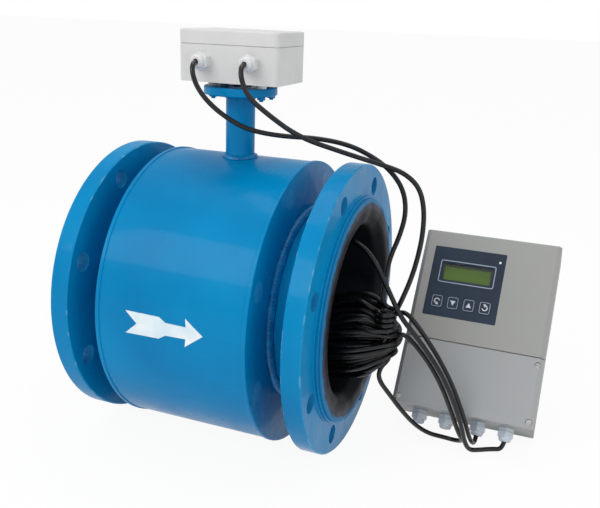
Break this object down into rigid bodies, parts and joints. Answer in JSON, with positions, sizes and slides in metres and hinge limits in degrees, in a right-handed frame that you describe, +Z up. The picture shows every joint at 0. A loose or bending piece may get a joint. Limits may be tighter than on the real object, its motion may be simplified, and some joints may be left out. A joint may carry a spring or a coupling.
{
  "type": "electromagnetic flow meter",
  "caption": "Flanged electromagnetic flow meter with a junction box on a column, black cables stowed in its bore, and a separate grey wall transmitter with a keypad.",
  "frame": {"origin": "on the pipe's axis, midway between the two flanges", "axes": "+X is the flow direction along the pipe's axis, +Z is up along the column and -Y is the side that carries the arrow"},
  "size_m": [0.5225, 0.4066, 0.479],
  "materials": {
    "blue_paint": "glossy blue enamel over steel",
    "tube_paint": "stainless tube, painted blue where it shows",
    "stainless": "stainless steel",
    "liner_rubber": "black moulded rubber, dusty",
    "coil_copper": "taped copper winding",
    "soft_iron": "soft iron",
    "white_plastic": "insulating plastic",
    "arrow_film": "white film",
    "light_plastic": "light grey moulded plastic",
    "seal_rubber": "black seal rubber",
    "gland_plastic": "white nylon",
    "cable_jacket": "black cable jacket, slightly glossy",
    "grey_paint": "cast aluminium with grey powder coat",
    "dark_panel": "dark blue-grey film",
    "clear_window": "clear window",
    "black_plastic": "black frame",
    "display_green": "unlit green display",
    "lamp_plastic": "clear lamp lens",
    "board_green": "circuit board",
    "zinc_steel": "zinc-plated sheet steel",
    "key_film": "dark blue-grey key cap"
  },
  "bodies": {
    "meter": {"inlet_flange": "blue_paint", "outlet_flange": "blue_paint", "measuring_tube": "tube_paint", "rubber_liner": "liner_rubber", "drum_shell": "blue_paint", "inlet_end_plate": "blue_paint", "outlet_end_plate": "blue_paint", "weld_beads": "blue_paint", "upper_coil": "coil_copper", "lower_coil": "coil_copper", "upper_pole_core": "soft_iron", "lower_pole_core": "soft_iron", "return_yoke": "soft_iron", "front_electrode": "stainless", "rear_electrode": "stainless", "electrode_bushes": "white_plastic", "electrode_nuts": "stainless", "flow_arrow": "arrow_film", "column_pipe": "blue_paint", "support_tray": "blue_paint", "box_spacers": "white_plastic", "junction_box_base": "light_plastic", "junction_box_gasket": "seal_rubber", "junction_box_lid": "light_plastic", "lid_screws": "stainless", "box_fixing_screws": "stainless", "box_terminal_block": "white_plastic", "box_gland_bodies": "gland_plastic", "box_gland_seals": "seal_rubber", "box_gland_nuts": "gland_plastic", "box_gland_locknuts": "gland_plastic", "cable_hank": "cable_jacket", "signal_cable_upper": "cable_jacket", "signal_cable_loop": "cable_jacket", "signal_cable_lower": "cable_jacket", "excitation_cable_upper": "cable_jacket", "excitation_cable_lower": "cable_jacket", "transmitter_housing": "grey_paint", "display_cover": "grey_paint", "terminal_cover": "grey_paint", "cover_gaskets": "seal_rubber", "terminal_cover_screws": "stainless", "keypad_panel": "dark_panel", "display_window": "clear_window", "display_bezel": "black_plastic", "display_glass": "display_green", "power_lamp": "lamp_plastic", "display_board": "board_green", "board_standoffs": "stainless", "terminal_strip": "white_plastic", "wall_bracket": "zinc_steel", "bracket_bolts": "stainless", "case_gland_bodies": "gland_plastic", "case_gland_seals": "seal_rubber", "case_gland_nuts": "gland_plastic", "case_gland_locknuts": "gland_plastic"},
    "menu_key_body": {"menu_key": "key_film"},
    "down_key_body": {"down_key": "key_film"},
    "up_key_body": {"up_key": "key_film"},
    "enter_key_body": {"enter_key": "key_film"}
  },
  "joints": [
    {"name": "menu_key_press", "type": "slide", "parent": "meter", "child": "menu_key_body", "axis": [0, 0.8028, -0.5962], "range_m": [0, 0.0006], "stiffness_N_per_m": 3000},
    {"name": "down_key_press", "type": "slide", "parent": "meter", "child": "down_key_body", "axis": [0, 0.8028, -0.5962], "range_m": [0, 0.0006], "stiffness_N_per_m": 3000},
    {"name": "up_key_press", "type": "slide", "parent": "meter", "child": "up_key_body", "axis": [0, 0.8028, -0.5962], "range_m": [0, 0.0006], "stiffness_N_per_m": 3000},
    {"name": "enter_key_press", "type": "slide", "parent": "meter", "child": "enter_key_body", "axis": [0, 0.8028, -0.5962], "range_m": [0, 0.0006], "stiffness_N_per_m": 3000}
  ]
}
